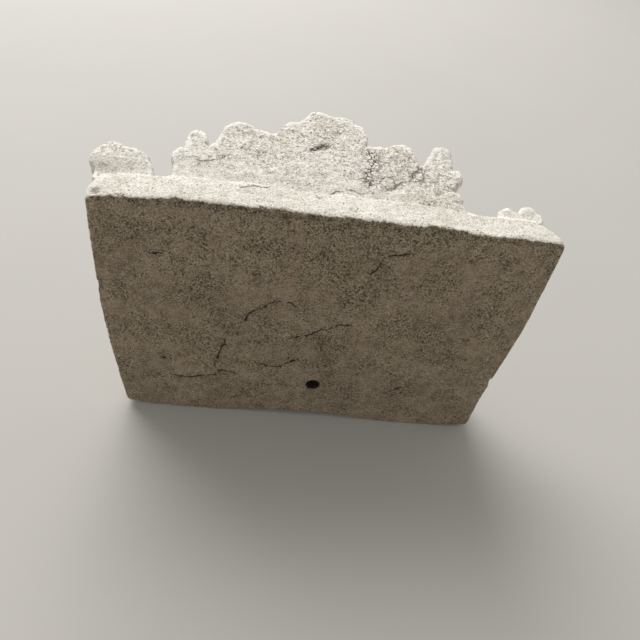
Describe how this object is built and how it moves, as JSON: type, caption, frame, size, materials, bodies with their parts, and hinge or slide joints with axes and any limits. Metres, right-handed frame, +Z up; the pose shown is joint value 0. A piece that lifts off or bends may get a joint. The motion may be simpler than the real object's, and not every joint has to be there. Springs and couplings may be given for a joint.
{
  "type": "lion head fountain mask",
  "caption": "Cast stone wall plaque with a lion's head in high relief between corner palmettes, and a bore for a water pipe from the flat back to the open mouth.",
  "frame": {"origin": "middle of the flat back, where the mask meets the wall", "axes": "+X to the right as seen from the front, +Y into the wall, +Z up"},
  "size_m": [0.4806, 0.2127, 0.3442],
  "materials": {
    "cast_stone": "rough, pitted and weathered"
  },
  "bodies": {
    "root": {"lion_mask": "cast_stone"}
  },
  "joints": []
}
